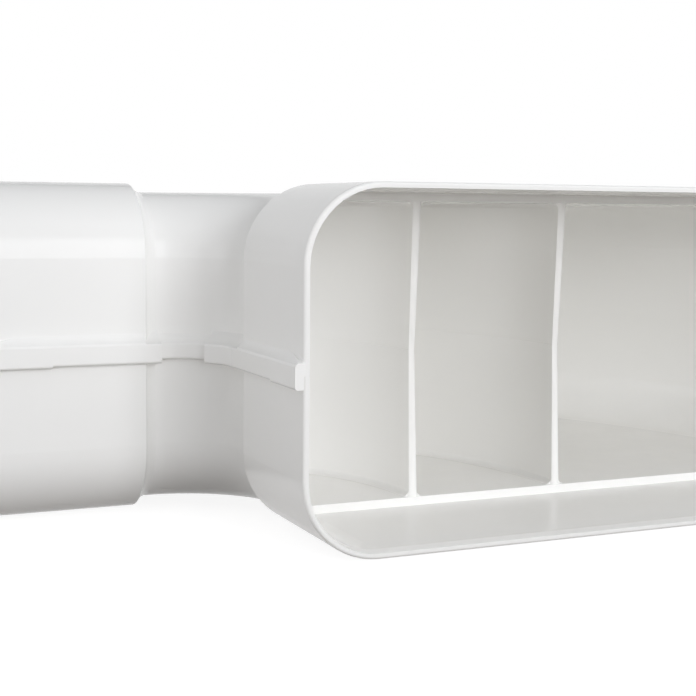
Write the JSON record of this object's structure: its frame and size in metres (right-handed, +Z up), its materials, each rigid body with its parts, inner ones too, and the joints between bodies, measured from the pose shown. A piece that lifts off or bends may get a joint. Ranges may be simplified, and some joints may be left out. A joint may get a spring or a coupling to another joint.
{
  "type": "flat duct bend",
  "caption": "White plastic 90 degree bend for flat rectangular ventilation duct: a stepped socket at each end, two moulded half shells joined by a raised band, and curved guide vanes inside.",
  "frame": {"origin": "middle of the part's outline seen from above, on the plane that it rests on", "axes": "+Z up, out of the wide flat side; socket B opens to -Y and socket A opens to -X"},
  "size_m": [0.2928, 0.2928, 0.095],
  "materials": {
    "upper_shell": "moulded, glossy white",
    "lower_shell": "moulded, glossy white"
  },
  "bodies": {
    "root": {"upper_shell": "upper_shell", "lower_shell": "lower_shell"}
  },
  "joints": []
}
